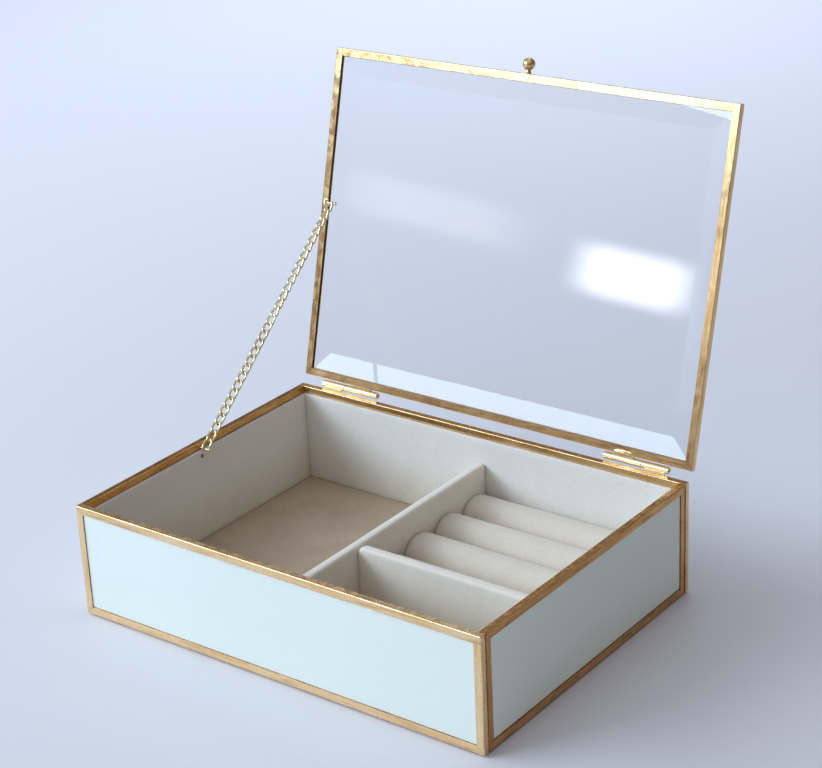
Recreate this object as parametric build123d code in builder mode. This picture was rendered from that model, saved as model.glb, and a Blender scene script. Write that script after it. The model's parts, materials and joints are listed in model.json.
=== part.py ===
"""Brass-framed glass jewellery box, shown with its lid held open by a stay chain.

Millimetres. X runs to the right along the front, Y to the back, Z up.
The origin is the middle of the base's underside.
"""
from build123d import *
import math
import os

os.makedirs("parts", exist_ok=True)

# ---------------------------------------------------------------- driving sizes
WIDTH = 200.0            # outside, left to right
DEPTH = 148.0            # outside, front to back
HEIGHT = 50.0            # table to the top of the base's rim

FELT_THICKNESS = 0.6     # pad that the box stands on
FELT_INSET = 2.5         # pad's edge behind the brass

CAME_DEPTH = 3.0         # brass channel, through the pane
CAME_FLANGE = 3.3        # brass channel, width seen on each face
CAME_SHEET = 0.5         # wall of the channel
CAME_ROUND = 0.3         # rounding of the channel's outer edges
MITRE_KERF = 0.06        # gap left for solder at a mitre

GLASS_FIT = 0.25         # gap between a pane's edge and the channel's bottom

LINING = 1.4             # velvet-covered side boards
LINING_TOP = 47.0        # top edge of the side boards
FLOOR_LINING = 2.0       # velvet-covered floor board

LONG_DIVIDER_X = 1.0     # middle plane of the divider that runs front to back
LONG_DIVIDER_THICKNESS = 4.6
LONG_DIVIDER_TOP = 36.2
CROSS_DIVIDER_Y = -19.2  # middle plane of the divider in the right half
CROSS_DIVIDER_THICKNESS = 4.8
CROSS_DIVIDER_TOP = 35.0

ROLL_COUNT = 4
ROLL_RADIUS = 9.9
ROLL_PITCH = 20.7
ROLL_BACK_GAP = 0.2      # between the rear roll and the back lining
ROLL_END_GAP = 0.2

LID_GAP = 0.5            # closed lid above the rim
LID_OPEN_ANGLE = 104.3   # from closed, where the chain comes taut
LID_GLASS_THICKNESS = 3.6
BEVEL_WIDTH = 11.6       # from the lid's outer edge to the bevel's inner line

HINGE_Y = 76.2           # hinge axis, behind and above the back rim
HINGE_Z = 51.4
HINGE_INNER = 59.0       # knuckles run from here outwards, left and right
HINGE_SPLIT = 77.0
HINGE_OUTER = 89.5
KNUCKLE_RADIUS = 1.5
KNUCKLE_BORE = 0.80
PIN_RADIUS = 0.77
PIN_RECESS = 0.6         # pin ends inside the tube
KNUCKLE_GAP = 0.2
LEAF_SHEET = 0.6
LID_LEAF_LENGTH = 9.0
LID_LEAF_START = 63.5
LID_LEAF_BELOW = 0.7     # leaf's foot on the lid, below and above the hinge axis
LID_LEAF_ABOVE = 1.8
LID_LEAF_NECK_BELOW = 0.6  # leaf where it meets the tube, below and above the axis
LID_LEAF_NECK_ABOVE = 0.9
BASE_LEAF_INSET = 1.5    # base leaf's ends inside the tube's ends
BASE_LEAF_DROP = 3.2     # leaf's height on the back of the rim
BASE_LEAF_BEND = 0.9     # rim's top to the bend of the leaf's outer face
BASE_LEAF_TOP = 0.3      # rim's top to the bend of the leaf's inner face
BASE_LEAF_OUT = (0.6, -1.0)   # leaf's outer and inner corners in the tube,
BASE_LEAF_IN = (-0.9, -0.7)   # measured from the hinge axis

KNOB_RADIUS = 2.65
KNOB_REACH = 4.0         # ball's centre in front of the lid's front edge
KNOB_NECK_RADIUS = 1.15
KNOB_COLLAR_RADIUS = 1.45
KNOB_FOOT_WIDTH = 4.6
KNOB_FOOT_THICKNESS = 0.3

CHAIN_X = -93.6          # plane that the chain moves in
BASE_STUD_Y = -1.5
BASE_STUD_Z = 48.3
LID_STUD_Y = -5.5        # with the lid closed
LID_STUD_Z = 49.0
STUD_RADIUS = 0.4
STUD_HEAD_RADIUS = 0.8
STUD_HEAD_X = -91.5
STUD_HEAD_THICKNESS = 0.35
LINK_LENGTH = 5.9
LINK_WIDTH = 3.7
LINK_WIRE = 0.75
LINK_ROLL = 45.0         # links turn this way and that about the chain's line
STUD_CLEARANCE = 0.12    # between a stud and the link on it
LUG_LENGTH = 2.4         # soldered lug that carries the lid's stud, along the lid's edge
LUG_SHEET = 0.5
LUG_FOOT_THICKNESS = 0.3
LUG_FOOT_REACH = 2.0     # foot's width under the lid's channel
LUG_CLEARANCE = 0.15     # between the closed lug and the rim's inner face
SEGMENT_LINKS = 2        # links that move together
SEGMENTS = 15
BASE_SEGMENTS = 7        # segments that hang from the base; the rest hang from the lid
OPEN_PIVOT_GAP = 0.3     # between the two halves of the chain

RIVET_RADIUS = 0.9
RIVET_HEIGHT = 0.35
RIVET_Y = -1.5
RIVET_Z = 44.4

# ---------------------------------------------------------------- derived sizes
HALF_W = WIDTH / 2
HALF_D = DEPTH / 2
FRAME_BOTTOM = FELT_THICKNESS
FRAME_HEIGHT = HEIGHT - FRAME_BOTTOM
INNER_W = HALF_W - CAME_DEPTH          # inside of the brass, left and right
INNER_D = HALF_D - CAME_DEPTH          # inside of the brass, front and back
PANE = CAME_DEPTH - 2 * CAME_SHEET     # thickness of the side panes
FLOOR_UNDER = FRAME_BOTTOM + CAME_DEPTH
FLOOR_TOP = FLOOR_UNDER + FLOOR_LINING
LINED_W = INNER_W - LINING             # inside of the lining, left and right
LINED_D = INNER_D - LINING             # inside of the lining, front and back
LONG_DIVIDER_RIGHT = LONG_DIVIDER_X + LONG_DIVIDER_THICKNESS / 2

LID_BOTTOM = HEIGHT + LID_GAP


def write(part, name):
    """Label a finished piece and write it as parts/<name>.step."""
    part.label = name
    export_step(part, f"parts/{name}.step")


# ---------------------------------------------------------------- lid's own frame
# The lid is drawn as if it were closed, on planes measured from the hinge axis,
# and this plane turns it to the angle at which the chain holds it.
LID_TURN = math.radians(LID_OPEN_ANGLE)
LID_NORMAL = (0, math.sin(LID_TURN), math.cos(LID_TURN))
lid_plane = Plane(origin=(0, HINGE_Y, HINGE_Z), x_dir=(1, 0, 0), z_dir=LID_NORMAL)


def on_lid(x, y, z):
    """Point of the open lid that is at (x, y, z) when the lid is closed."""
    return lid_plane.from_local_coords((x, y - HINGE_Y, z - HINGE_Z))


LID_BACKWARD = on_lid(0, 1, 0) - on_lid(0, 0, 0)


def lid_sheet(height):
    """Plane of the lid that is level at this height when the lid is closed."""
    return Plane(origin=on_lid(0, 0, height), x_dir=(1, 0, 0), z_dir=LID_NORMAL)


# ---------------------------------------------------------------- brass channel
def came_strip(plane, length):
    """Mitred U channel: its back runs along the plane's X, and it opens along the plane's Y."""
    half = length / 2 - MITRE_KERF
    with BuildPart() as strip:
        with BuildSketch(plane):
            with BuildLine():
                Polyline(
                    (-half, 0),
                    (half, 0),
                    (half - CAME_FLANGE, CAME_FLANGE),
                    (CAME_FLANGE - half, CAME_FLANGE),
                    close=True,
                )
            make_face()
        extrude(amount=CAME_DEPTH)
        back_edges = strip.edges().filter_by(lambda edge: abs(edge.length - 2 * half) < 1e-3)
        fillet(back_edges, CAME_ROUND)
        with BuildSketch(plane.offset(CAME_SHEET)):
            with Locations((0, CAME_SHEET)):
                Rectangle(length, CAME_FLANGE, align=(Align.CENTER, Align.MIN))
        extrude(amount=PANE, mode=Mode.SUBTRACT)
    return strip.part


def panel_strips(plane, width, height):
    """The four strips round a pane that is drawn on this plane, centred on its origin."""
    strips = []
    sides = (
        (plane.x_dir, plane.y_dir, width, height),
        (plane.y_dir, -plane.x_dir, height, width),
        (-plane.x_dir, -plane.y_dir, width, height),
        (-plane.y_dir, plane.x_dir, height, width),
    )
    for along, inward, length, across in sides:
        strip_plane = Plane(origin=plane.origin - inward * (across / 2), x_dir=along, z_dir=plane.z_dir)
        strips.append(came_strip(strip_plane, length))
    return strips


def pane(plane, width, height, thickness):
    """Flat pane that fills a channel frame of this outside size."""
    edge = 2 * (CAME_SHEET + GLASS_FIT)
    with BuildPart() as glass:
        with BuildSketch(plane.offset(CAME_SHEET)):
            Rectangle(width - edge, height - edge)
        extrude(amount=thickness)
    return glass.part


# ---------------------------------------------------------------- five base panels
PANEL_MIDDLE = FRAME_BOTTOM + FRAME_HEIGHT / 2
SIDE_LENGTH = 2 * INNER_D
panels = {
    "front": (Plane((0, -INNER_D, PANEL_MIDDLE), x_dir=(1, 0, 0), z_dir=(0, -1, 0)), WIDTH),
    "back": (Plane((0, INNER_D, PANEL_MIDDLE), x_dir=(-1, 0, 0), z_dir=(0, 1, 0)), WIDTH),
    "left": (Plane((-INNER_W, 0, PANEL_MIDDLE), x_dir=(0, -1, 0), z_dir=(-1, 0, 0)), SIDE_LENGTH),
    "right": (Plane((INNER_W, 0, PANEL_MIDDLE), x_dir=(0, 1, 0), z_dir=(1, 0, 0)), SIDE_LENGTH),
}
for side, (panel_plane, panel_length) in panels.items():
    with BuildPart() as side_came:
        for strip in panel_strips(panel_plane, panel_length, FRAME_HEIGHT):
            add(strip)
    write(side_came.part, f"{side}_came")
    write(pane(panel_plane, panel_length, FRAME_HEIGHT, PANE), f"{side}_glass")

bottom_plane = Plane((0, 0, FRAME_BOTTOM), x_dir=(1, 0, 0), z_dir=(0, 0, 1))
with BuildPart() as bottom_came:
    for strip in panel_strips(bottom_plane, 2 * INNER_W, 2 * INNER_D):
        add(strip)
write(bottom_came.part, "bottom_came")
write(pane(bottom_plane, 2 * INNER_W, 2 * INNER_D, PANE), "bottom_glass")

with BuildPart() as base_felt:
    with BuildSketch(Plane.XY):
        RectangleRounded(WIDTH - 2 * FELT_INSET, DEPTH - 2 * FELT_INSET, 2)
    extrude(amount=FELT_THICKNESS)
write(base_felt.part, "base_felt")


# ---------------------------------------------------------------- lining
def board(low, high):
    """Lining board between two opposite corners."""
    with BuildPart() as lining_board:
        with BuildSketch(Plane.XY.offset(low[2])):
            with Locations(((low[0] + high[0]) / 2, (low[1] + high[1]) / 2)):
                Rectangle(high[0] - low[0], high[1] - low[1])
        extrude(amount=high[2] - low[2])
    return lining_board.part


write(board((-INNER_W, -INNER_D, FLOOR_UNDER), (INNER_W, INNER_D, FLOOR_TOP)), "lining_floor")
write(board((-INNER_W, LINED_D, FLOOR_TOP), (INNER_W, INNER_D, LINING_TOP)), "lining_back")
write(board((-INNER_W, -INNER_D, FLOOR_TOP), (INNER_W, -LINED_D, LINING_TOP)), "lining_front")
write(board((-INNER_W, -LINED_D, FLOOR_TOP), (-LINED_W, LINED_D, LINING_TOP)), "lining_left")
write(board((LINED_W, -LINED_D, FLOOR_TOP), (INNER_W, LINED_D, LINING_TOP)), "lining_right")


# ---------------------------------------------------------------- dividers and ring rolls
def divider(plane, thickness, top, length):
    """Padded divider with a fully rounded top, drawn across its thickness on this plane."""
    radius = thickness / 2
    shoulder = top - radius
    with BuildPart() as padded_divider:
        with BuildSketch(plane):
            with BuildLine():
                Polyline((-radius, shoulder), (-radius, FLOOR_TOP), (radius, FLOOR_TOP), (radius, shoulder))
                ThreePointArc((radius, shoulder), (0, top), (-radius, shoulder))
            make_face()
        extrude(amount=length)
    return padded_divider.part


long_plane = Plane((LONG_DIVIDER_X, LINED_D, 0), x_dir=(1, 0, 0), z_dir=(0, -1, 0))
write(divider(long_plane, LONG_DIVIDER_THICKNESS, LONG_DIVIDER_TOP, 2 * LINED_D), "long_divider")

cross_plane = Plane((LONG_DIVIDER_RIGHT, CROSS_DIVIDER_Y, 0), x_dir=(0, 1, 0), z_dir=(1, 0, 0))
cross_length = LINED_W - LONG_DIVIDER_RIGHT
write(divider(cross_plane, CROSS_DIVIDER_THICKNESS, CROSS_DIVIDER_TOP, cross_length), "cross_divider")

for index in range(ROLL_COUNT):
    roll_y = LINED_D - ROLL_BACK_GAP - ROLL_RADIUS - index * ROLL_PITCH
    roll_start = LONG_DIVIDER_RIGHT + ROLL_END_GAP
    roll_plane = Plane((roll_start, roll_y, FLOOR_TOP + ROLL_RADIUS), x_dir=(0, 1, 0), z_dir=(1, 0, 0))
    with BuildPart() as ring_roll:
        with BuildSketch(roll_plane):
            Circle(ROLL_RADIUS)
        extrude(amount=LINED_W - ROLL_END_GAP - roll_start)
    write(ring_roll.part, f"ring_roll_{index + 1}")


# ---------------------------------------------------------------- lid
lid_names = ("lid_came_front", "lid_came_right", "lid_came_back", "lid_came_left")
for name, strip in zip(lid_names, panel_strips(lid_sheet(LID_BOTTOM), WIDTH, DEPTH)):
    write(strip, name)

with BuildPart() as lid_glass:
    glass_edge = CAME_SHEET + GLASS_FIT
    glass_bottom = LID_BOTTOM + CAME_SHEET
    with BuildSketch(lid_sheet(glass_bottom)):
        Rectangle(WIDTH - 2 * glass_edge, DEPTH - 2 * glass_edge)
    extrude(amount=PANE)
    with BuildSketch(lid_sheet(glass_bottom + PANE)):
        Rectangle(WIDTH - 2 * CAME_FLANGE, DEPTH - 2 * CAME_FLANGE)
    with BuildSketch(lid_sheet(glass_bottom + LID_GLASS_THICKNESS)):
        Rectangle(WIDTH - 2 * BEVEL_WIDTH, DEPTH - 2 * BEVEL_WIDTH)
    loft()
write(lid_glass.part, "lid_glass")

# The knob is turned about a line along the lid, through the middle of its front edge.
KNOB_HEIGHT = LID_BOTTOM + CAME_DEPTH / 2
knob_axis_start = on_lid(0, -HALF_D, KNOB_HEIGHT)
knob_forward = on_lid(0, -HALF_D - 1, KNOB_HEIGHT) - knob_axis_start
knob_plane = Plane(origin=knob_axis_start, x_dir=(1, 0, 0), z_dir=knob_forward.cross(Vector(1, 0, 0)))
with BuildPart() as knob:
    neck_end = KNOB_REACH - math.sqrt(KNOB_RADIUS**2 - KNOB_NECK_RADIUS**2)
    with BuildSketch(knob_plane):
        with BuildLine():
            Polyline((0, 0), (KNOB_COLLAR_RADIUS, 0), (KNOB_COLLAR_RADIUS, -0.3))
            Spline(
                (KNOB_COLLAR_RADIUS, -0.3),
                (KNOB_NECK_RADIUS, -neck_end),
                tangents=((-1, -1), (0, -1)),
            )
            ThreePointArc(
                (KNOB_NECK_RADIUS, -neck_end),
                (KNOB_RADIUS, -KNOB_REACH),
                (0, -KNOB_REACH - KNOB_RADIUS),
            )
            Line((0, -KNOB_REACH - KNOB_RADIUS), (0, 0))
        make_face()
    revolve(axis=Axis(knob_axis_start, knob_forward))
write(knob.part, "knob")

with BuildPart() as knob_foot:
    with BuildSketch(lid_sheet(LID_BOTTOM - KNOB_FOOT_THICKNESS)):
        with Locations((0, -HALF_D)):
            Trapezoid(KNOB_FOOT_WIDTH, CAME_FLANGE - 0.3, 70, align=(Align.CENTER, Align.MIN))
    extrude(amount=KNOB_FOOT_THICKNESS)
write(knob_foot.part, "knob_foot")


# ---------------------------------------------------------------- hinges
def tube(start, end, outer, bore):
    """Tube on the hinge axis between two places along X, with a hole right through."""
    with BuildPart() as tube_part:
        with BuildSketch(Plane((start, HINGE_Y, HINGE_Z), x_dir=(0, 1, 0), z_dir=(1, 0, 0))):
            Circle(outer)
            if bore:
                Circle(bore, mode=Mode.SUBTRACT)
        extrude(amount=end - start)
    return tube_part.part


def lid_knuckle(start, end, leaf_start):
    """Tube with the short leaf that joins it to the lid's back channel."""
    leaf_plane = Plane(origin=on_lid(leaf_start, 0, 0), x_dir=LID_BACKWARD, z_dir=(1, 0, 0))
    with BuildPart() as knuckle:
        add(tube(start, end, KNUCKLE_RADIUS, 0))
        with BuildSketch(leaf_plane):
            with BuildLine():
                Polyline(
                    (HALF_D, HINGE_Z - LID_LEAF_BELOW),
                    (HALF_D, HINGE_Z + LID_LEAF_ABOVE),
                    (HALF_D + LEAF_SHEET, HINGE_Z + LID_LEAF_ABOVE),
                    (HINGE_Y, HINGE_Z + LID_LEAF_NECK_ABOVE),
                    (HINGE_Y, HINGE_Z - LID_LEAF_NECK_BELOW),
                    close=True,
                )
            make_face()
        extrude(amount=LID_LEAF_LENGTH)
        with BuildSketch(Plane((start, HINGE_Y, HINGE_Z), x_dir=(0, 1, 0), z_dir=(1, 0, 0))):
            Circle(KNUCKLE_BORE)
        extrude(amount=end - start, mode=Mode.SUBTRACT)
    return knuckle.part


def base_knuckle(start, end):
    """Tube with the leaf that is soldered to the back of the rim."""
    leaf_plane = Plane((start + BASE_LEAF_INSET, 0, 0), x_dir=(0, 1, 0), z_dir=(1, 0, 0))
    with BuildPart() as knuckle:
        add(tube(start, end, KNUCKLE_RADIUS, 0))
        with BuildSketch(leaf_plane):
            with BuildLine():
                Polyline(
                    (HALF_D, HEIGHT - BASE_LEAF_DROP),
                    (HALF_D + LEAF_SHEET, HEIGHT - BASE_LEAF_DROP),
                    (HALF_D + LEAF_SHEET, HEIGHT - BASE_LEAF_BEND),
                    (HINGE_Y + BASE_LEAF_OUT[0], HINGE_Z + BASE_LEAF_OUT[1]),
                    (HINGE_Y + BASE_LEAF_IN[0], HINGE_Z + BASE_LEAF_IN[1]),
                    (HALF_D, HEIGHT - BASE_LEAF_TOP),
                    close=True,
                )
            make_face()
        extrude(amount=end - start - 2 * BASE_LEAF_INSET)
        with BuildSketch(Plane((start, HINGE_Y, HINGE_Z), x_dir=(0, 1, 0), z_dir=(1, 0, 0))):
            Circle(KNUCKLE_BORE)
        extrude(amount=end - start, mode=Mode.SUBTRACT)
    return knuckle.part


for side, sign in (("left", -1), ("right", 1)):
    lid_span = sorted((sign * HINGE_INNER, sign * (HINGE_SPLIT - KNUCKLE_GAP / 2)))
    base_span = sorted((sign * (HINGE_SPLIT + KNUCKLE_GAP / 2), sign * HINGE_OUTER))
    pin_span = sorted((sign * (HINGE_INNER + PIN_RECESS), sign * (HINGE_OUTER - PIN_RECESS)))
    leaf_start = min(sign * LID_LEAF_START, sign * (LID_LEAF_START + LID_LEAF_LENGTH))
    write(lid_knuckle(lid_span[0], lid_span[1], leaf_start), f"hinge_lid_knuckle_{side}")
    write(base_knuckle(base_span[0], base_span[1]), f"hinge_base_knuckle_{side}")
    write(tube(pin_span[0], pin_span[1], PIN_RADIUS, 0), f"hinge_pin_{side}")


# ---------------------------------------------------------------- stay chain
base_stud = Vector(CHAIN_X, BASE_STUD_Y, BASE_STUD_Z)
lid_stud = on_lid(CHAIN_X, LID_STUD_Y, LID_STUD_Z)
CHAIN_LENGTH = (lid_stud - base_stud).length
chain_line = (lid_stud - base_stud).normalized()
LINK_COUNT = SEGMENTS * SEGMENT_LINKS
HALF_INNER = LINK_LENGTH / 2 - LINK_WIRE
STUD_TO_CENTRE = HALF_INNER - STUD_RADIUS - STUD_CLEARANCE
OPEN_PITCH = LINK_LENGTH + OPEN_PIVOT_GAP
PITCH = (CHAIN_LENGTH - 2 * STUD_TO_CENTRE - OPEN_PITCH) / (LINK_COUNT - 2)


def stud(start, head_start, point):
    """Small headed stud along X, on which the chain's end link turns."""
    with BuildPart() as stud_part:
        with BuildSketch(Plane((start, point.Y, point.Z), x_dir=(0, 1, 0), z_dir=(1, 0, 0))):
            Circle(STUD_RADIUS)
        extrude(amount=head_start - start)
        with BuildSketch(Plane((head_start, point.Y, point.Z), x_dir=(0, 1, 0), z_dir=(1, 0, 0))):
            Circle(STUD_HEAD_RADIUS)
        extrude(amount=STUD_HEAD_THICKNESS)
    return stud_part.part


write(stud(-INNER_W, STUD_HEAD_X, base_stud), "chain_stud_base")

# The lid's stud stands on a bent lug, whose foot lies under the lid's left channel.
LUG_OUTSIDE = -INNER_W + LUG_CLEARANCE
LUG_INSIDE = LUG_OUTSIDE + LUG_SHEET
LUG_UNDER = LID_STUD_Z - LUG_SHEET - STUD_RADIUS
lug_start = on_lid(0, LID_STUD_Y - LUG_LENGTH / 2, 0)
with BuildPart() as chain_stud_lid:
    add(stud(LUG_INSIDE, STUD_HEAD_X, lid_stud))
    with BuildSketch(Plane(origin=lug_start, x_dir=(-1, 0, 0), z_dir=LID_BACKWARD)):
        with BuildLine():
            Polyline(
                (-LUG_INSIDE, LUG_UNDER),
                (-LUG_INSIDE, LID_BOTTOM),
                (-LUG_OUTSIDE + LUG_FOOT_REACH, LID_BOTTOM),
                (-LUG_OUTSIDE + LUG_FOOT_REACH, LID_BOTTOM - LUG_FOOT_THICKNESS),
                (-LUG_OUTSIDE, LID_BOTTOM - LUG_FOOT_THICKNESS),
                (-LUG_OUTSIDE, LUG_UNDER),
                close=True,
            )
        make_face()
    extrude(amount=LUG_LENGTH)
write(chain_stud_lid.part, "chain_stud_lid")


def link_station(index):
    """Distance of a link's centre from the base stud, along the taut chain."""
    station = STUD_TO_CENTRE + index * PITCH
    if index >= BASE_SEGMENTS * SEGMENT_LINKS:
        station += OPEN_PITCH - PITCH
    return station


def link_plane(index):
    """Plane of one link, its X along the chain."""
    roll = math.radians(LINK_ROLL if index % 2 == 0 else -LINK_ROLL)
    upward = Vector(1, 0, 0).cross(chain_line)
    normal = Vector(1, 0, 0) * math.cos(roll) + upward * math.sin(roll)
    centre = base_stud + chain_line * link_station(index)
    return Plane(origin=centre, x_dir=chain_line, z_dir=normal)


def chain_link(index):
    """Oval link of round wire: two straight legs and two half rings."""
    plane = link_plane(index)
    bend = (LINK_WIDTH - LINK_WIRE) / 2
    leg = LINK_LENGTH / 2 - LINK_WIRE / 2 - bend
    with BuildPart() as link:
        for side in (-1, 1):
            leg_start = plane.from_local_coords((-leg, side * bend, 0))
            with BuildSketch(Plane(origin=leg_start, x_dir=plane.z_dir, z_dir=plane.x_dir)):
                Circle(LINK_WIRE / 2)
            extrude(amount=2 * leg)
        for end in (-1, 1):
            ring_start = plane.from_local_coords((end * leg, bend, 0))
            ring_centre = plane.from_local_coords((end * leg, 0, 0))
            with BuildSketch(Plane(origin=ring_start, x_dir=plane.z_dir, z_dir=plane.x_dir)):
                Circle(LINK_WIRE / 2)
            revolve(axis=Axis(ring_centre, plane.z_dir), revolution_arc=-end * 180)
    return link.part


for segment in range(SEGMENTS):
    with BuildPart() as chain_segment:
        for index in range(segment * SEGMENT_LINKS, (segment + 1) * SEGMENT_LINKS):
            add(chain_link(index))
    write(chain_segment.part, f"chain_{segment + 1:02d}")

# Blind rivet that holds the left lining under the base stud.
with BuildPart() as lining_rivet:
    with BuildSketch(Plane((-LINED_W, RIVET_Y, RIVET_Z), x_dir=(0, 1, 0), z_dir=(1, 0, 0))):
        Circle(RIVET_RADIUS)
    extrude(amount=RIVET_HEIGHT)
    fillet(lining_rivet.faces().sort_by(Axis.X)[-1].edges(), RIVET_HEIGHT * 0.9)
write(lining_rivet.part, "lining_rivet")
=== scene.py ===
"""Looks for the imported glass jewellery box: brass channels, opal and clear glass, velvet tray, chain."""
import json
import math

import bmesh
import bpy
from mathutils import Matrix, Vector, noise


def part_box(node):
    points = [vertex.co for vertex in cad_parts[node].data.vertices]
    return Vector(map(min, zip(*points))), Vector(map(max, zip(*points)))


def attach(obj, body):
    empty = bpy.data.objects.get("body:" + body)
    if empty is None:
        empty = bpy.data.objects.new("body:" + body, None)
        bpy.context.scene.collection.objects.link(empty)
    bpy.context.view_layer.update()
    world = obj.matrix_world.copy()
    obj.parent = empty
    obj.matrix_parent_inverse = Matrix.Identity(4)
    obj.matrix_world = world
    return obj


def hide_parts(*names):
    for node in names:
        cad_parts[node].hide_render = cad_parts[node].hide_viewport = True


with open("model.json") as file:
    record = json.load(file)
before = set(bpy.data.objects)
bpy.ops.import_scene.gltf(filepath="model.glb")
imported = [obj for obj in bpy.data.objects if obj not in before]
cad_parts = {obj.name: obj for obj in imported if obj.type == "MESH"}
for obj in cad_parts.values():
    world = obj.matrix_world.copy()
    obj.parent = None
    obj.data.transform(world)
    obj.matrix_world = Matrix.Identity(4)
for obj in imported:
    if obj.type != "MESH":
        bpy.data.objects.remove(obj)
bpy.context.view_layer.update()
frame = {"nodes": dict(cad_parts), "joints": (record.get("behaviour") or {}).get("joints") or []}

MM = 0.001

# ---------------------------------------------------------------- sizes read from the frame
joints = {joint["name"]: joint for joint in frame["joints"]}
hinge_point = Vector(joints["lid_hinge"]["pos_m"])
lid_angle = math.radians(joints["lid_hinge"]["range_deg"][1])
rim_low, rim_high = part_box("front_came")
half_width = rim_high.x
half_depth = -rim_low.y
rim_top = rim_high.z
rim_foot = rim_low.z
came_depth = rim_high.y - rim_low.y
came_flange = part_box("lid_came_left")[1].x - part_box("lid_came_left")[0].x
lid_under = rim_top + 0.5 * MM

lid_turn = Matrix.Rotation(-lid_angle, 3, "X")


def on_lid(x, y, z):
    """Point of the open lid that is at (x, y, z) when the lid is closed."""
    return hinge_point + lid_turn @ (Vector((x, y, z)) - hinge_point)


# ---------------------------------------------------------------- node helpers
def new_material(name):
    """Empty node material with its output node."""
    material = bpy.data.materials.new(name)
    material.use_nodes = True
    tree = material.node_tree
    tree.nodes.clear()
    return material, tree, tree.nodes.new("ShaderNodeOutputMaterial")


def texture_space(tree, longer=(1, 1, 1), turn=0.0):
    """Object coordinates in metres; a pattern laid in them is drawn out by longer, after a turn about X."""
    coordinates = tree.nodes.new("ShaderNodeTexCoord")
    mapping = tree.nodes.new("ShaderNodeMapping")
    mapping.vector_type = "TEXTURE"
    mapping.inputs["Rotation"].default_value = (turn, 0, 0)
    mapping.inputs["Scale"].default_value = longer
    tree.links.new(coordinates.outputs["Object"], mapping.inputs["Vector"])
    return mapping.outputs["Vector"]


def noise_value(tree, space, scale, detail=3.0, roughness=0.55, distortion=0.0):
    """Noise texture's value, with a scale in waves per metre."""
    texture = tree.nodes.new("ShaderNodeTexNoise")
    texture.inputs["Scale"].default_value = scale
    texture.inputs["Detail"].default_value = detail
    texture.inputs["Roughness"].default_value = roughness
    texture.inputs["Distortion"].default_value = distortion
    tree.links.new(space, texture.inputs["Vector"])
    return texture.outputs["Fac"]


def ramp(tree, value, stops):
    """Colour ramp over a value, from a list of (position, (r, g, b))."""
    node = tree.nodes.new("ShaderNodeValToRGB")
    elements = node.color_ramp.elements
    while len(elements) < len(stops):
        elements.new(0.5)
    for element, (position, colour) in zip(elements, stops):
        element.position = position
        element.color = (*colour, 1.0)
    tree.links.new(value, node.inputs["Fac"])
    return node.outputs["Color"]


def mapped(tree, value, low, high):
    """A 0.3 to 0.7 noise value spread over low to high."""
    node = tree.nodes.new("ShaderNodeMapRange")
    node.interpolation_type = "SMOOTHERSTEP"
    node.inputs["From Min"].default_value = 0.3
    node.inputs["From Max"].default_value = 0.7
    node.inputs["To Min"].default_value = low
    node.inputs["To Max"].default_value = high
    tree.links.new(value, node.inputs["Value"])
    return node.outputs["Result"]


def mixed(tree, factor, first, second, blend="MIX"):
    """Mix of two colour outputs by a value."""
    node = tree.nodes.new("ShaderNodeMix")
    node.data_type = "RGBA"
    node.blend_type = blend
    tree.links.new(factor, node.inputs["Factor"])
    tree.links.new(first, node.inputs[6])
    tree.links.new(second, node.inputs[7])
    return node.outputs[2]


def bump(tree, height, distance, strength=1.0, under=None):
    """Bump from a height value, over an earlier bump if one is given."""
    node = tree.nodes.new("ShaderNodeBump")
    node.inputs["Strength"].default_value = strength
    node.inputs["Distance"].default_value = distance
    tree.links.new(height, node.inputs["Height"])
    if under is not None:
        tree.links.new(under, node.inputs["Normal"])
    return node.outputs["Normal"]


def surface(tree, output):
    """Principled shader wired to the output."""
    shader = tree.nodes.new("ShaderNodeBsdfPrincipled")
    tree.links.new(shader.outputs["BSDF"], output.inputs["Surface"])
    return shader


# ---------------------------------------------------------------- materials
GRAIN_LENGTH = 16
ACROSS_PANES = (rim_top - rim_foot) / 2 - came_flange


def upright_mask(tree):
    """1 between the top and bottom channels of the base, where the channels stand upright."""
    place = tree.nodes.new("ShaderNodeSeparateXYZ")
    tree.links.new(texture_space(tree), place.inputs[0])
    distance = tree.nodes.new("ShaderNodeMath")
    distance.operation = "COMPARE"
    distance.inputs[1].default_value = (rim_top + rim_foot) / 2
    distance.inputs[2].default_value = ACROSS_PANES
    tree.links.new(place.outputs["Z"], distance.inputs[0])
    return distance.outputs[0]


def drawn_grain(tree, along):
    """Streaks that run along a channel: x, y, or lid for the side channels of the open lid."""
    longer = [1, 1, 1]
    longer[0 if along == "x" else 1] = GRAIN_LENGTH
    turn = -lid_angle if along == "lid" else 0.0
    streak = noise_value(tree, texture_space(tree, longer, turn), 900, detail=3, roughness=0.6)
    if along == "lid":
        return streak
    upright = noise_value(tree, texture_space(tree, (1, 1, GRAIN_LENGTH)), 900, detail=3, roughness=0.6)
    choice = tree.nodes.new("ShaderNodeMix")
    tree.links.new(upright_mask(tree), choice.inputs["Factor"])
    tree.links.new(streak, choice.inputs["A"])
    tree.links.new(upright, choice.inputs["B"])
    return choice.outputs["Result"]


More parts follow.
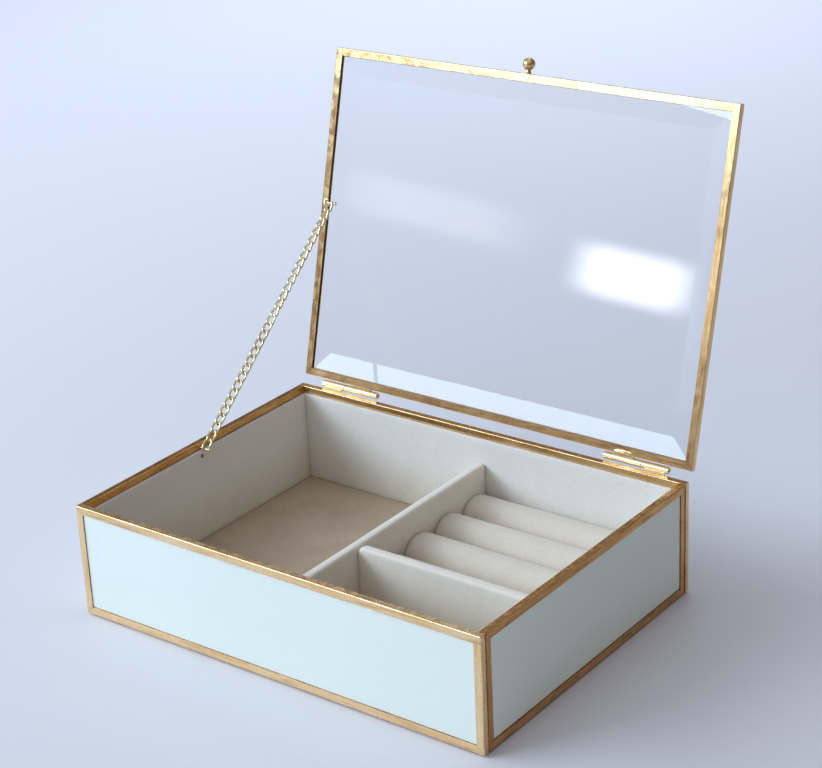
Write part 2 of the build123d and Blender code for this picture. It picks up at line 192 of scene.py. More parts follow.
def brass(name, pale, warm, tarnish, gloss, along=None, dents=0.00003, worn=0.45):
    """Lacquered brass: cloudy colour, tarnish in patches and streaks, uneven gloss and tiny dents."""
    material, tree, output = new_material(name)
    shader = surface(tree, output)
    space = texture_space(tree)
    cloud = noise_value(tree, space, 55, detail=4)
    stain = noise_value(tree, space, 210, detail=5, roughness=0.65, distortion=0.6)
    fine = noise_value(tree, space, 2600, detail=2)
    colour = ramp(tree, cloud, [(0.35, warm), (0.65, pale)])
    dull = ramp(tree, stain, [(0.25, tarnish), (0.8, warm)])
    colour = mixed(tree, mapped(tree, stain, 0.0, worn), colour, dull)
    if along:
        streak = drawn_grain(tree, along)
        lines = ramp(tree, streak, [(0.36, tarnish), (0.5, warm), (0.66, pale)])
        colour = mixed(tree, mapped(tree, cloud, 0.25, 0.7), colour, lines)
        fine = streak
    tree.links.new(colour, shader.inputs["Base Color"])
    shader.inputs["Metallic"].default_value = 1.0
    tree.links.new(mapped(tree, stain, *gloss), shader.inputs["Roughness"])
    waves = bump(tree, stain, dents)
    tree.links.new(bump(tree, fine, 0.000008, under=waves), shader.inputs["Normal"])
    return material


def opal_glass():
    """Pale mint opal glass, softly clouded through its depth, with an even, glossy face."""
    material, tree, output = new_material("opal_glass")
    shader = surface(tree, output)
    cloud = noise_value(tree, texture_space(tree), 14, detail=0)
    tint = ramp(tree, cloud, [(0.0, (0.76, 0.845, 0.775)), (1.0, (0.835, 0.90, 0.83))])
    tree.links.new(tint, shader.inputs["Base Color"])
    shader.inputs["Roughness"].default_value = 0.265
    shader.inputs["IOR"].default_value = 1.5
    return material


def clear_glass():
    """Polished plate glass that lets shadow rays through, very slightly wavy."""
    material, tree, output = new_material("lid_plate_glass")
    shader = tree.nodes.new("ShaderNodeBsdfPrincipled")
    shader.inputs["Base Color"].default_value = (0.965, 0.975, 0.985, 1)
    shader.inputs["Roughness"].default_value = 0.0
    shader.inputs["IOR"].default_value = 1.5
    shader.inputs["Transmission Weight"].default_value = 1.0
    space = texture_space(tree)
    waves = noise_value(tree, space, 16, detail=1)
    tree.links.new(bump(tree, waves, 0.00002), shader.inputs["Normal"])
    see_through = tree.nodes.new("ShaderNodeBsdfTransparent")
    see_through.inputs["Color"].default_value = (0.9, 0.92, 0.93, 1)
    light_path = tree.nodes.new("ShaderNodeLightPath")
    mix = tree.nodes.new("ShaderNodeMixShader")
    tree.links.new(light_path.outputs["Is Shadow Ray"], mix.inputs["Fac"])
    tree.links.new(shader.outputs["BSDF"], mix.inputs[1])
    tree.links.new(see_through.outputs["BSDF"], mix.inputs[2])
    tree.links.new(mix.outputs["Shader"], output.inputs["Surface"])
    return material


def velvet(name, light, shade, foot=0.5, nap=1.0):
    """Short-pile velvet: brushed clouds, fine pile and a soft sheen, with painted shade that turns it
    browner towards the tray's floor.

    foot is how much of the painted brown shade there is at the floor, and nap scales the pile's height.
    """
    material, tree, output = new_material(name)
    shader = surface(tree, output)
    space = texture_space(tree)
    brushed = noise_value(tree, space, 60, detail=4, roughness=0.6, distortion=0.8)
    pile = noise_value(tree, space, 1100, detail=3, roughness=0.7)
    fine = noise_value(tree, space, 4200, detail=1)
    cloth = ramp(tree, brushed, [(0.3, shade), (0.7, light)])
    fleck = ramp(tree, pile, [(0.32, tuple(0.86 * value for value in shade)), (0.68, light)])
    colour = mixed(tree, mapped(tree, pile, 0.35, 0.7), cloth, fleck)
    # painted shade: the colour is multiplied by a brown tint that grows from 34 mm down to 4 mm above the
    # floor
    place = tree.nodes.new("ShaderNodeSeparateXYZ")
    tree.links.new(space, place.inputs[0])
    height = tree.nodes.new("ShaderNodeMapRange")
    height.interpolation_type = "SMOOTHSTEP"
    height.inputs["From Min"].default_value = 34 * MM
    height.inputs["From Max"].default_value = 4 * MM
    height.inputs["To Max"].default_value = foot
    tree.links.new(place.outputs["Z"], height.inputs["Value"])
    painted_shade_brown = ramp(tree, brushed, [(0.3, (0.80, 0.70, 0.58)), (0.7, (0.86, 0.77, 0.66))])
    colour = mixed(tree, height.outputs["Result"], colour, painted_shade_brown, blend="MULTIPLY")
    tree.links.new(colour, shader.inputs["Base Color"])
    tree.links.new(mapped(tree, brushed, 0.86, 0.97), shader.inputs["Roughness"])
    shader.inputs["Specular IOR Level"].default_value = 0.15
    shader.inputs["Sheen Weight"].default_value = 0.22
    shader.inputs["Sheen Roughness"].default_value = 0.5
    shader.inputs["Sheen Tint"].default_value = (0.95, 0.94, 0.92, 1)
    soft = bump(tree, pile, 0.00011 * nap)
    tree.links.new(bump(tree, fine, 0.00003 * nap, under=soft), shader.inputs["Normal"])
    return material


def felt():
    """Near-black matted felt under the base; its dark tone is partly painted shadow for the dark line under
    the bottom edge.
    """
    material, tree, output = new_material("dark_felt_and_painted_shadow")
    shader = surface(tree, output)
    space = texture_space(tree)
    fibre = noise_value(tree, space, 1800, detail=5, roughness=0.75)
    # partly painted shadow: the near-black tone stands in for the dark line under the bottom edge
    tone = ramp(tree, fibre, [(0.3, (0.018, 0.014, 0.012)), (0.7, (0.045, 0.036, 0.03))])
    tree.links.new(tone, shader.inputs["Base Color"])
    tree.links.new(mapped(tree, fibre, 0.85, 1.0), shader.inputs["Roughness"])
    tree.links.new(bump(tree, fibre, 0.00015), shader.inputs["Normal"])
    return material


def rivet_metal():
    """Blackened rivet, rubbed on its crown."""
    material, tree, output = new_material("dark_rivet_metal")
    shader = surface(tree, output)
    space = texture_space(tree)
    rub = noise_value(tree, space, 1400, detail=4)
    tone = ramp(tree, rub, [(0.35, (0.17, 0.13, 0.09)), (0.7, (0.34, 0.27, 0.19))])
    tree.links.new(tone, shader.inputs["Base Color"])
    tree.links.new(mapped(tree, rub, 0.4, 0.7), shader.inputs["Roughness"])
    shader.inputs["Metallic"].default_value = 0.6
    tree.links.new(bump(tree, rub, 0.00004), shader.inputs["Normal"])
    return material


# Lit and shaded copies of one brass: the front channel's paler, brighter tones are painted light; the left
# and right channels' darker, more orange tones are painted shade.
LIT_FRONT_TONES = ((0.99, 0.78, 0.48), (0.97, 0.66, 0.34), (0.66, 0.36, 0.14))
BACK_TONES = ((0.92, 0.70, 0.40), (0.82, 0.55, 0.27), (0.44, 0.23, 0.08))
SHADED_SIDE_TONES = ((0.76, 0.45, 0.17), (0.62, 0.32, 0.10), (0.25, 0.10, 0.028))
LID_TONES = ((0.90, 0.68, 0.38), (0.80, 0.53, 0.24), (0.46, 0.23, 0.08))
CHANNEL_BRASS = {
    # worn=0.3 is painted light too: less tarnish on the lit front channel
    "front_came": brass("lit_front_brass", *LIT_FRONT_TONES, (0.2, 0.36), along="x", worn=0.3),
    "back_came": brass("back_brass", *BACK_TONES, (0.16, 0.32), along="x"),
    "left_came": brass("shaded_side_brass_y", *SHADED_SIDE_TONES, (0.16, 0.32), along="y"),
    "lid_came_front": brass("lid_brass_x", *LID_TONES, (0.12, 0.26), along="x"),
    "lid_came_left": brass("lid_brass_y", *LID_TONES, (0.12, 0.26), along="lid"),
}
CHANNEL_BRASS["bottom_came"] = CHANNEL_BRASS["back_came"]
CHANNEL_BRASS["right_came"] = CHANNEL_BRASS["left_came"]
CHANNEL_BRASS["lid_came_back"] = CHANNEL_BRASS["lid_came_front"]
CHANNEL_BRASS["lid_came_right"] = CHANNEL_BRASS["lid_came_left"]
hinge_brass = brass(
    "hinge_brass", (0.90, 0.76, 0.50), (0.82, 0.65, 0.38), (0.58, 0.40, 0.20), (0.22, 0.34), dents=0.000005
)
knob_brass = brass("knob_brass", (0.88, 0.66, 0.34), (0.76, 0.50, 0.22), (0.50, 0.29, 0.10), (0.12, 0.22))
chain_brass = brass("chain_brass", (0.92, 0.84, 0.54), (0.84, 0.73, 0.40), (0.58, 0.47, 0.20), (0.2, 0.34))
solder_brass = brass(
    "solder_brass", (0.94, 0.74, 0.45), (0.82, 0.55, 0.27), (0.38, 0.20, 0.07), (0.2, 0.45), dents=0.00012
)
patina_brass = brass(
    "patina_brass", (0.30, 0.17, 0.07), (0.20, 0.10, 0.035), (0.08, 0.035, 0.012), (0.35, 0.6), dents=0.00006
)
# foot sets how much painted brown shade each velvet gets low in the tray
wall_velvet = velvet("wall_velvet", (0.84, 0.82, 0.76), (0.79, 0.765, 0.695), foot=0.7)
# painted shade: the floor velvet is a darker, browner copy of the wall velvet, standing in for the shade on
# the tray's floor
floor_velvet_painted_shade = velvet("floor_velvet_painted_shade", (0.62, 0.545, 0.45), (0.54, 0.465, 0.375), foot=1.0)
divider_velvet = velvet("divider_velvet", (0.84, 0.785, 0.68), (0.78, 0.72, 0.61), foot=0.8, nap=0.8)
roll_velvet = velvet("roll_velvet", (0.77, 0.71, 0.61), (0.70, 0.635, 0.53), foot=1.0)
milk_glass = opal_glass()
plate_glass = clear_glass()
felt_pad_and_shadow = felt()
rivet = rivet_metal()


def dress(node, material):
    """Give a CAD node its finish."""
    slots = frame["nodes"][node].material_slots
    for material_slot in slots:
        material_slot.material = material


for node in frame["nodes"]:
    if node in CHANNEL_BRASS:
        dress(node, CHANNEL_BRASS[node])
    elif node == "lid_glass":
        dress(node, plate_glass)
    elif node.endswith("_glass"):
        dress(node, milk_glass)
    elif node.startswith("hinge"):
        dress(node, hinge_brass)
    elif node.startswith("knob"):
        dress(node, knob_brass)
    elif node.startswith("chain_stud"):
        dress(node, chain_brass)
    elif node == "base_felt":
        dress(node, felt_pad_and_shadow)
    elif node == "lining_rivet":
        dress(node, rivet)


# ---------------------------------------------------------------- mesh helpers
def mesh_object(name, mesh_data, material, smooth=True):
    """Object from a bmesh, linked to the scene, with one material."""
    mesh = bpy.data.meshes.new(name)
    bmesh.ops.recalc_face_normals(mesh_data, faces=mesh_data.faces)
    mesh_data.to_mesh(mesh)
    mesh_data.free()
    for polygon in mesh.polygons:
        polygon.use_smooth = smooth
    mesh.materials.append(material)
    piece = bpy.data.objects.new(name, mesh)
    bpy.context.scene.collection.objects.link(piece)
    return piece


def ruffled(point, scale, size, seed=0.0):
    """Smooth small offset that varies over space."""
    return noise.noise(point * scale + Vector((seed, 2 * seed, -seed))) * size


def fabric_block(name, low, high, radius, material, step=3 * MM, waviness=0.12 * MM):
    """Cloth-covered board between two corners, with soft edges and slightly uneven faces."""
    low, high = Vector(low), Vector(high)
    size = high - low
    mesh_data = bmesh.new()
    counts = [max(2, round(size[axis] / step)) for axis in range(3)]
    marks = []
    for axis in range(3):
        flat = size[axis] - 2 * radius
        inner = [low[axis] + radius + flat * i / counts[axis] for i in range(counts[axis] + 1)]
        marks.append([low[axis], *inner, high[axis]])
    found = {}

    def corner(i, j, k):
        """Vertex at a grid place on the block's skin, pulled in to round the edges."""
        if (i, j, k) not in found:
            point = Vector((marks[0][i], marks[1][j], marks[2][k]))
            core = Vector([min(max(point[a], low[a] + radius), high[a] - radius) for a in range(3)])
            outward = point - core
            if outward.length > 0:
                point = core + outward.normalized() * radius
                point -= outward.normalized() * (waviness + ruffled(point, 90, waviness))
            found[(i, j, k)] = mesh_data.verts.new(point)
        return found[(i, j, k)]

    last = [len(values) - 1 for values in marks]
    for axis in range(3):
        first, second = [a for a in range(3) if a != axis]
        for level in (0, last[axis]):
            for u in range(last[first]):
                for v in range(last[second]):
                    face = []
                    for du, dv in ((0, 0), (1, 0), (1, 1), (0, 1)):
                        place = [0, 0, 0]
                        place[axis] = level
                        place[first] = u + du
                        place[second] = v + dv
                        face.append(corner(*place))
                    mesh_data.faces.new(face)
    return mesh_object(name, mesh_data, material)


def pushed_out(piece, pressure, cap):
    """Let the cover of a padded piece swell a little, by cloth simulation, and keep the result."""
    rest = [vertex.co.copy() for vertex in piece.data.vertices]
    cloth = piece.modifiers.new("cloth", "CLOTH")
    cloth.settings.quality = 6
    cloth.settings.mass = 0.05
    cloth.settings.use_pressure = True
    cloth.settings.uniform_pressure_force = pressure
    cloth.settings.effector_weights.gravity = 0
    cloth.point_cache.frame_start = 1
    cloth.point_cache.frame_end = 16
    scene = bpy.context.scene
    for step in range(1, 17):
        scene.frame_set(step)
    graph = bpy.context.evaluated_depsgraph_get()
    swollen = piece.evaluated_get(graph).to_mesh()
    moved = [vertex.co.copy() for vertex in swollen.vertices]
    piece.evaluated_get(graph).to_mesh_clear()
    piece.modifiers.remove(cloth)
    scene.frame_set(1)
    for vertex, start, end in zip(piece.data.vertices, rest, moved):
        shift = end - start
        if shift.length > cap:
            shift *= cap / shift.length
        vertex.co = start + shift
    piece.data.update()


# ---------------------------------------------------------------- velvet tray
def lined_board(node, material):
    """Velvet-covered board that stands for a CAD lining board."""
    low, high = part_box(node)
    piece = fabric_block(f"{node}_velvet", low, high, 0.3 * MM, material, step=2.5 * MM, waviness=0.06 * MM)
    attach(piece, "base")
    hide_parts(node)


for wall in ("back", "front", "left", "right"):
    lined_board(f"lining_{wall}", wall_velvet)
lined_board("lining_floor", floor_velvet_painted_shade)


def padded_divider(node, along, material, rise=0.0, round_end=0.0):
    """Padded divider with a round top, its cover drawn tight over it; rise lifts the crest a little.

    round_end is the radius of the crest's corner where the divider starts.
    """
    low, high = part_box(node)
    across = 1 - along
    middle = (high[across] + low[across]) / 2
    radius = (high[across] - low[across]) / 2
    shoulder = high.z + rise - radius
    wall_steps = 14
    outline = [(radius, low.z + (shoulder - low.z) * i / wall_steps) for i in range(wall_steps)]
    for i in range(15):
        turn = math.pi * i / 14
        # a squarer crest than a half circle, as padding over a board gives
        flat = 0.55
        outline.append(
            (
                radius * math.copysign(abs(math.cos(turn)) ** flat, math.cos(turn)),
                shoulder + radius * math.sin(turn) ** flat,
            )
        )
    outline += [(-offset, height) for offset, height in reversed(outline[:wall_steps])]
    length = high[along] - low[along]
    slices = round(length / (1.2 * MM))
    mesh_data = bmesh.new()
    rings = []
    for s in range(slices + 1):
        place = low[along] + length * s / slices
        from_start = place - low[along]
        from_end = min(from_start, high[along] - place)
        inset = 0.30 * MM * math.exp(-from_end / (0.8 * MM))
        drop = 0.0
        if from_start < round_end:
            drop = round_end - math.sqrt(round_end**2 - (round_end - from_start) ** 2)
        ring = []
        for offset, height in outline:
            point = Vector((0, 0, height))
            point[along] = place
            point[across] = middle + offset
            squeeze = inset + 0.08 * MM + ruffled(point, 70, 0.10 * MM, seed=along + 3)
            point[across] = middle + offset * (1 - squeeze / radius)
            share = (height - low.z) / (shoulder + radius - low.z)
            point.z = height - share * squeeze - share**4 * drop
            ring.append(mesh_data.verts.new(point))
        rings.append(ring)
    for first, second in zip(rings, rings[1:]):
        for i in range(len(first)):
            j = (i + 1) % len(first)
            mesh_data.faces.new((first[i], first[j], second[j], second[i]))
    for ring in (rings[0], rings[-1]):
        mesh_data.faces.new(ring)
    piece = mesh_object(f"{node}_velvet", mesh_data, material)
    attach(piece, "base")
    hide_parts(node)


padded_divider("long_divider", 1, divider_velvet)
padded_divider("cross_divider", 0, divider_velvet, rise=1.2 * MM, round_end=3.0 * MM)


def ring_roll(node, index):
    """Foam roll in a velvet sleeve, pressed against its neighbours, with a tucked end."""
    low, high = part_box(node)
    radius = (high.z - low.z) / 2
    centre = (low + high) / 2
    swell = 0.45 * MM
    # the front roll is pressed down behind the cross divider
    press = 1.3 * MM if index == 3 else 0.0
    slices = 46
    around = 56
    mesh_data = bmesh.new()
    rings = []
    for s in range(slices + 1):
        place = low.x + (high.x - low.x) * s / slices
        from_end = min(place - low.x, high.x - place)
        tuck = 0.55 * MM * math.exp(-from_end / (0.9 * MM))
        ring = []
        for i in range(around):
            turn = 2 * math.pi * i / around
            flat = min(1.0, 0.992 / max(abs(math.cos(turn)), 0.001))
            point = Vector((place, math.cos(turn), math.sin(turn)))
            reach = radius * flat - tuck
            reach += ruffled(Vector((place, turn * 0.01, index * 0.05)), 55, 0.14 * MM, seed=index)
            point.y = centre.y + math.cos(turn) * (reach + swell * 0.7)
            point.z = centre.z + math.sin(turn) * reach
            point.z -= press * max(0.0, math.sin(turn))
            ring.append(mesh_data.verts.new(point))
        rings.append(ring)
    for first, second in zip(rings, rings[1:]):
        for i in range(around):
            j = (i + 1) % around
            mesh_data.faces.new((first[i], first[j], second[j], second[i]))
    for ring in (rings[0], rings[-1]):
        hub = mesh_data.verts.new(sum((vertex.co for vertex in ring), Vector()) / around)
        for i in range(around):
            mesh_data.faces.new((ring[i], ring[(i + 1) % around], hub))
    piece = mesh_object(f"{node}_velvet", mesh_data, roll_velvet)
    pushed_out(piece, pressure=1.0, cap=0.25 * MM)
    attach(piece, "base")
    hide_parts(node)


for index in range(4):
    ring_roll(f"ring_roll_{index + 1}", index)


# ---------------------------------------------------------------- solder
def solder_lump(mesh_data, centre, normal, along, length, width, height, seed):
    """One flattened, uneven bead of solder on a face, merged into mesh_data."""
    across = normal.cross(along).normalized()
    before = set(mesh_data.verts)
    bmesh.ops.create_icosphere(mesh_data, subdivisions=4, radius=1.0)
    for vertex in mesh_data.verts:
        if vertex in before:
            continue
        direction = vertex.co.copy()
        swell = 1 + 0.35 * noise.noise(direction * 1.6 + Vector((seed, seed * 2, 0)))
        swell += 0.12 * noise.noise(direction * 4.5 + Vector((0, seed, seed * 3)))
        vertex.co = centre + (
            along * direction.x * length / 2 * swell
            + across * direction.y * width / 2 * swell
            + normal * direction.z * height * swell
        )


def solder_piece(name, body, lumps):
    """All the beads on one body, as one piece."""
    mesh_data = bmesh.new()
    for seed, (centre, normal, along, length, width, height) in enumerate(lumps):
        solder_lump(mesh_data, centre, normal, along, length * MM, width * MM, height * MM, seed + 1)
    piece = mesh_object(name, mesh_data, solder_brass)
    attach(piece, body)
    return piece


flange_middle = came_flange / 2
base_lumps = []
for side_x in (-1, 1):
    for side_y in (-1, 1):
        rim_corner = Vector(
            (side_x * (half_width - came_depth / 2), side_y * (half_depth - came_depth / 2), rim_top)
        )
        outward = Vector((side_x, side_y, 0)).normalized()
        base_lumps.append((rim_corner, Vector((0, 0, 1)), outward, 4.2, 2.0, 0.16))
        for height, lean in ((rim_top - flange_middle, 1), (rim_foot + flange_middle, -1)):
            outer = Vector((side_x * (half_width - flange_middle), side_y * half_depth, height))
            mitre = Vector((side_x, 0, lean)).normalized()
            base_lumps.append((outer, Vector((0, side_y, 0)), mitre, 4.4, 1.1, 0.13))
            side_joint = Vector((side_x * half_width, side_y * (half_depth - came_depth), height))
            base_lumps.append((side_joint, Vector((side_x, 0, 0)), Vector((0, 0, 1)), 3.4, 1.5, 0.2))
chain_joint = joints["chain_pivot_01"]["pos_m"]
flange_x = -half_width + came_depth
for offset, length in ((-3.0, 5.5), (-7.5, 4.0)):
    mottle = Vector((flange_x, chain_joint[1] + offset * MM, rim_top - flange_middle))
    base_lumps.append((mottle, Vector((1, 0, 0)), Vector((0, 1, 0)), length, 2.6, 0.22))
for side in ("left", "right"):
    leaf_low, leaf_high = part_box(f"hinge_base_knuckle_{side}")
    for end in (leaf_low.x + 2.2 * MM, leaf_high.x - 2.2 * MM):
        foot = Vector((end, leaf_high.y - 3.6 * MM, leaf_low.z + 0.6 * MM))
        base_lumps.append((foot, Vector((0, 1, 0)), Vector((1, 0, 0)), 3.4, 1.4, 0.45))
solder_piece("solder_base", "base", base_lumps)

lid_normal = lid_turn @ Vector((0, 0, 1))
lid_back = lid_turn @ Vector((0, 1, 0))
lid_lumps = []
for side_x in (-1, 1):
    for side_y in (-1, 1):
        mitre = (Vector((side_x, 0, 0)) + lid_back * side_y).normalized()
        inset = half_width - flange_middle
        for level, facing in ((lid_under, -1), (lid_under + came_depth, 1)):
            spot = on_lid(side_x * inset, side_y * (half_depth - flange_middle), level)
            lid_lumps.append((spot, lid_normal * facing, mitre, 4.4, 1.2, 0.14))
lower_right = on_lid(half_width - 2.0 * MM, half_depth - 2.0 * MM, lid_under)
lid_lumps.append((lower_right, -lid_normal, Vector((1, 0, 0)), 3.0, 2.6, 0.28))
for sign in (-1, 1):
    dot = on_lid(sign * 83 * MM, half_depth - 1.2 * MM, lid_under)
    lid_lumps.append((dot, -lid_normal, Vector((1, 0, 0)), 0.9, 0.9, 0.3))
    leaf = on_lid(sign * 68 * MM, half_depth - 0.9 * MM, lid_under)
    lid_lumps.append((leaf, -lid_normal, Vector((1, 0, 0)), 9.0, 1.9, 0.3))
solder_piece("solder_lid", "lid", lid_lumps)


# ---------------------------------------------------------------- dark lines where brass meets glass
def seam(mesh_data, start, end, radius, seed):
    """Slightly uneven round line from start to end."""
    length = (end - start).length
    steps = max(2, round(length / (2.5 * MM)))
    tangent = (end - start).normalized()
    normal = tangent.orthogonal().normalized()
    side = tangent.cross(normal)
    rings = []
    for i in range(steps + 1):
        point = start + (end - start) * i / steps
        size = radius * (1 + 0.3 * noise.noise(point * 160 + Vector((seed, 0, 0))))
        turns = [2 * math.pi * j / 6 for j in range(6)]
        rings.append(
            [mesh_data.verts.new(point + (normal * math.cos(t) + side * math.sin(t)) * size) for t in turns]
        )
    for first, second in zip(rings, rings[1:]):
        for j in range(6):
            mesh_data.faces.new((first[j], first[(j + 1) % 6], second[(j + 1) % 6], second[j]))
    for ring in (rings[0], rings[-1]):
        mesh_data.faces.new(ring)


def seam_frame(mesh_data, corners, radius, seed):
    """Seam round the four corners of a pane."""
    for i, corner in enumerate(corners):
        seam(mesh_data, corner, corners[(i + 1) % 4], radius, seed + i)


SEAM_RADIUS = 0.24 * MM
SEAM_INSET = 0.4 * MM
CAME_SHEET = 0.5 * MM
sill = rim_foot + came_flange
lintel = rim_top - came_flange
pane_corners = ((-1, sill), (1, sill), (1, lintel), (-1, lintel))
seams = bmesh.new()
for side in (-1, 1):
    y = side * (half_depth - CAME_SHEET)
    x = half_width - came_flange
    seam_frame(seams, [Vector((a * x, y, z)) for a, z in pane_corners], SEAM_RADIUS, 3)
    x = side * (half_width - CAME_SHEET)
    y = half_depth - came_depth - came_flange
    seam_frame(seams, [Vector((x, a * y, z)) for a, z in pane_corners], SEAM_RADIUS, 7)
    for end in (-1, 1):
        edge = Vector((side * half_width, end * (half_depth - came_depth), 0))
        foot_end = edge + Vector((0, 0, rim_foot + SEAM_INSET))
        top_end = edge + Vector((0, 0, rim_top - SEAM_INSET))
        seam(seams, foot_end, top_end, SEAM_RADIUS, 11)
seam_piece = mesh_object("seams_base", seams, patina_brass)
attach(seam_piece, "base")

seams = bmesh.new()
x = half_width - came_flange
y = half_depth - came_flange
corners = ((-1, -1), (1, -1), (1, 1), (-1, 1))
seam_frame(seams, [on_lid(a * x, b * y, lid_under + CAME_SHEET) for a, b in corners], SEAM_RADIUS, 17)
seam_piece = mesh_object("seams_lid", seams, patina_brass)
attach(seam_piece, "lid")


# ---------------------------------------------------------------- stay chain
PIVOTS = [Vector(joints[f"chain_pivot_{i:02d}"]["pos_m"]) for i in (1, 15)]
base_stud = PIVOTS[0]
lid_stud = PIVOTS[1]
chain_line = (lid_stud - base_stud).normalized()
chain_length = (lid_stud - base_stud).length
LINK_COUNT = 30
LINKS_PER_SEGMENT = 2
LINK_WIRE = 1.0 * MM
LINK_WIDTH = 4.0 * MM
LINK_LENGTH = 6.1 * MM
CURB_TWIST = math.radians(42)
LOWER_ROLL = math.radians(48)
UPPER_ROLL = math.radians(92)
TWIST_LINK = 15
chain_across = Vector((1, 0, 0))
chain_up = chain_across.cross(chain_line).normalized()


def wire_loop(mesh_data, points, radius, sides=10):
    """Round wire along a closed line of points."""
    count = len(points)
    rings = []
    normal = None
    for i, point in enumerate(points):
        tangent = (points[(i + 1) % count] - points[i - 1]).normalized()
        if normal is None:
            normal = tangent.orthogonal().normalized()
        normal = (normal - tangent * normal.dot(tangent)).normalized()
        side = tangent.cross(normal)
        ring = []
        for j in range(sides):
            turn = 2 * math.pi * j / sides
            spoke = normal * math.cos(turn) + side * math.sin(turn)
            ring.append(mesh_data.verts.new(point + spoke * radius))
        rings.append(ring)
    # the frame may have turned on its way round, so the last ring meets the first at the nearest corner
    shift = min(range(sides), key=lambda k: (rings[-1][0].co - rings[0][k].co).length)
    for i in range(count):
        first = rings[i]
        second = rings[(i + 1) % count]
        turn = shift if i == count - 1 else 0
        for j in range(sides):
            k = (j + 1) % sides
            mesh_data.faces.new((first[j], first[k], second[(k + turn) % sides], second[(j + turn) % sides]))


def curb_link(mesh_data, centre, roll):
    """Oval link, twisted so that its two ends stand a quarter turn apart."""
    half_straight = (LINK_LENGTH - LINK_WIDTH) / 2
    bend = (LINK_WIDTH - LINK_WIRE) / 2
    outline = []
    for end in (1, -1):
        for i in range(12):
            turn = math.pi * (i / 12 - 0.5)
            outline.append((end * (half_straight + bend * math.cos(turn)), end * bend * math.sin(turn)))
    points = []
    for along, side in outline:
        twist = roll + CURB_TWIST * along / (LINK_LENGTH / 2)
        outward = chain_up * math.cos(twist) - chain_across * math.sin(twist)
        points.append(centre + chain_line * along + outward * side)
    wire_loop(mesh_data, points, LINK_WIRE / 2)


def link_roll(index):
    """The chain lies flat towards the front below, and turns by half a right angle past its twist."""
    share = min(1.0, max(0.0, (index - TWIST_LINK + 1) / 2))
    return LOWER_ROLL + (UPPER_ROLL - LOWER_ROLL) * share


link_pitch = chain_length / LINK_COUNT
for segment in range(LINK_COUNT // LINKS_PER_SEGMENT):
    mesh_data = bmesh.new()
    for index in range(segment * LINKS_PER_SEGMENT, (segment + 1) * LINKS_PER_SEGMENT):
        centre = base_stud + chain_line * link_pitch * (index + 0.5)
        curb_link(mesh_data, centre, link_roll(index))
    label = f"chain_{segment + 1:02d}"
    piece = mesh_object(f"{label}_links", mesh_data, chain_brass)
    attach(piece, f"{label}_link")
    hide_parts(label)


# ---------------------------------------------------------------- stage
def stage_material():
    """Matt pale lavender table."""
    material, tree, output = new_material("pale_table")
    shader = surface(tree, output)
    space = texture_space(tree)
    cloud = noise_value(tree, space, 2.2, detail=2)
    tone = ramp(tree, cloud, [(0.3, (0.725, 0.715, 0.735)), (0.7, (0.74, 0.73, 0.75))])
    tree.links.new(tone, shader.inputs["Base Color"])
    shader.inputs["Roughness"].default_value = 0.62
    shader.inputs["Specular IOR Level"].default_value = 0.3
    return material


table_mesh = bmesh.new()
bmesh.ops.create_grid(table_mesh, x_segments=8, y_segments=8, size=7.0)
table = mesh_object("table", table_mesh, stage_material(), smooth=False)
table.location.z = -0.0002


# ---------------------------------------------------------------- camera
CAMERA_PLACE = Vector((0.4897, -0.61897, 0.43453))
CAMERA_AZIMUTH = math.radians(39.03)
CAMERA_ELEVATION = math.radians(23.03)
CAMERA_ROLL = math.radians(-3.35)
camera_data = bpy.data.cameras.new("camera")
camera_data.lens = 94.8
camera_data.sensor_width = 36.0
camera_data.shift_x = 0.073
camera_data.clip_start = 0.01
camera_data.clip_end = 50
camera = bpy.data.objects.new("camera", camera_data)
bpy.context.scene.collection.objects.link(camera)
backward = Vector(
    (
        math.sin(CAMERA_AZIMUTH) * math.cos(CAMERA_ELEVATION),
        -math.cos(CAMERA_AZIMUTH) * math.cos(CAMERA_ELEVATION),
        math.sin(CAMERA_ELEVATION),
    )
)
level_right = Vector((math.cos(CAMERA_AZIMUTH), math.sin(CAMERA_AZIMUTH), 0))
level_up = backward.cross(level_right)
right = level_right * math.cos(CAMERA_ROLL) + level_up * math.sin(CAMERA_ROLL)
up = level_up * math.cos(CAMERA_ROLL) - level_right * math.sin(CAMERA_ROLL)
camera.matrix_world = Matrix.Translation(CAMERA_PLACE) @ Matrix((right, up, backward)).transposed().to_4x4()
bpy.context.scene.camera = camera


# ---------------------------------------------------------------- light
def heading(azimuth, elevation):
    """Direction from the box towards a light; azimuth 0 is the front, and it grows to the right."""
    a, e = math.radians(azimuth), math.radians(elevation)
    return Vector((math.sin(a) * math.cos(e), -math.cos(a) * math.cos(e), math.sin(e)))


def soft_box(name, target, azimuth, elevation, distance, size, power, colour):
    """Rectangular area light that faces its target."""
    data = bpy.data.lights.new(name, "AREA")
    data.shape = "RECTANGLE"
    data.size, data.size_y = size
    data.energy = power
    data.color = colour
    light = bpy.data.objects.new(name, data)
    light.location = target + heading(azimuth, elevation) * distance
    light.rotation_mode = "QUATERNION"
    light.rotation_quaternion = heading(azimuth, elevation).to_track_quat("Z", "Y")
    light.visible_camera = False
    bpy.context.scene.collection.objects.link(light)
    return light


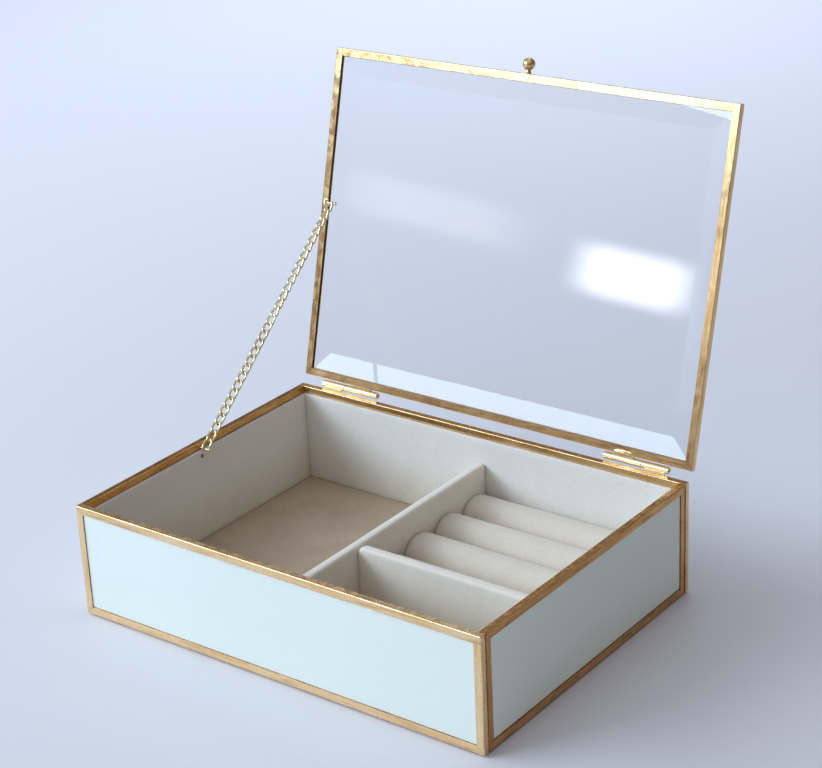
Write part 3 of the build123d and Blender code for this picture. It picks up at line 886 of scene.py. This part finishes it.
def faded(light):
    """Let an area light fade out towards its edges, as a far window does."""
    light.data.use_nodes = True
    tree = light.data.node_tree
    emission = next(node for node in tree.nodes if node.bl_idname == "ShaderNodeEmission")
    place = tree.nodes.new("ShaderNodeNewGeometry")
    axes = tree.nodes.new("ShaderNodeSeparateXYZ")
    tree.links.new(place.outputs["Parametric"], axes.inputs[0])
    strength = None
    for axis in ("X", "Y"):
        centred = tree.nodes.new("ShaderNodeMath")
        centred.operation = "PINGPONG"
        centred.inputs[1].default_value = 0.5
        tree.links.new(axes.outputs[axis], centred.inputs[0])
        rise = tree.nodes.new("ShaderNodeMapRange")
        rise.interpolation_type = "SMOOTHSTEP"
        rise.inputs["From Max"].default_value = 0.35
        tree.links.new(centred.outputs[0], rise.inputs["Value"])
        if strength is None:
            strength = rise.outputs["Result"]
        else:
            product = tree.nodes.new("ShaderNodeMath")
            product.operation = "MULTIPLY"
            tree.links.new(strength, product.inputs[0])
            tree.links.new(rise.outputs["Result"], product.inputs[1])
            strength = product.outputs[0]
    tree.links.new(strength, emission.inputs["Strength"])


lid_middle = on_lid(0, 0, lid_under)
soft_box("window", lid_middle, -50, 24, 1.5, (1.50, 0.60), 24, (0.655, 0.81, 1.0))
patch_middle = on_lid(44 * MM, 0, lid_under)
patch = soft_box("window_patch", patch_middle, -28.4, 4.4, 1.8, (0.19, 0.085), 0.45, (0.97, 0.98, 1.0))
faded(patch)
streak_middle = on_lid(-40 * MM, -20 * MM, lid_under)
streak = soft_box("window_streak", streak_middle, -34.5, 4.6, 1.8, (0.32, 0.075), 0.09, (1.0, 0.94, 0.92))
faded(streak)
glow = soft_box("backdrop_glow", Vector((-0.60, 1.05, 0)), 0, 90, 1.1, (0.9, 0.7), 5.0, (0.66, 0.79, 1.0))
glow.data.spread = math.radians(110)

world = bpy.data.worlds.new("room")
bpy.context.scene.world = world
world.use_nodes = True
room = world.node_tree
room.nodes.clear()
direction = room.nodes.new("ShaderNodeTexCoord")
towards_window = room.nodes.new("ShaderNodeVectorMath")
towards_window.operation = "DOT_PRODUCT"
towards_window.inputs[1].default_value = Vector((-0.2, -0.35, 0.9)).normalized()
room.links.new(direction.outputs["Generated"], towards_window.inputs[0])
shade = room.nodes.new("ShaderNodeValToRGB")
shade.color_ramp.elements[0].position = 0.0
shade.color_ramp.elements[0].color = (0.19, 0.165, 0.15, 1)
shade.color_ramp.elements[1].position = 1.0
shade.color_ramp.elements[1].color = (0.70, 0.75, 0.86, 1)
spread = room.nodes.new("ShaderNodeMapRange")
spread.inputs["From Min"].default_value = 0.35
spread.inputs["From Max"].default_value = 1.0
room.links.new(towards_window.outputs["Value"], spread.inputs["Value"])
room.links.new(spread.outputs["Result"], shade.inputs["Fac"])
sky = room.nodes.new("ShaderNodeBackground")
sky.inputs["Strength"].default_value = 1.0
room.links.new(shade.outputs["Color"], sky.inputs["Color"])
world_output = room.nodes.new("ShaderNodeOutputWorld")
room.links.new(sky.outputs["Background"], world_output.inputs["Surface"])
bpy.context.scene.view_settings.view_transform = "Standard"
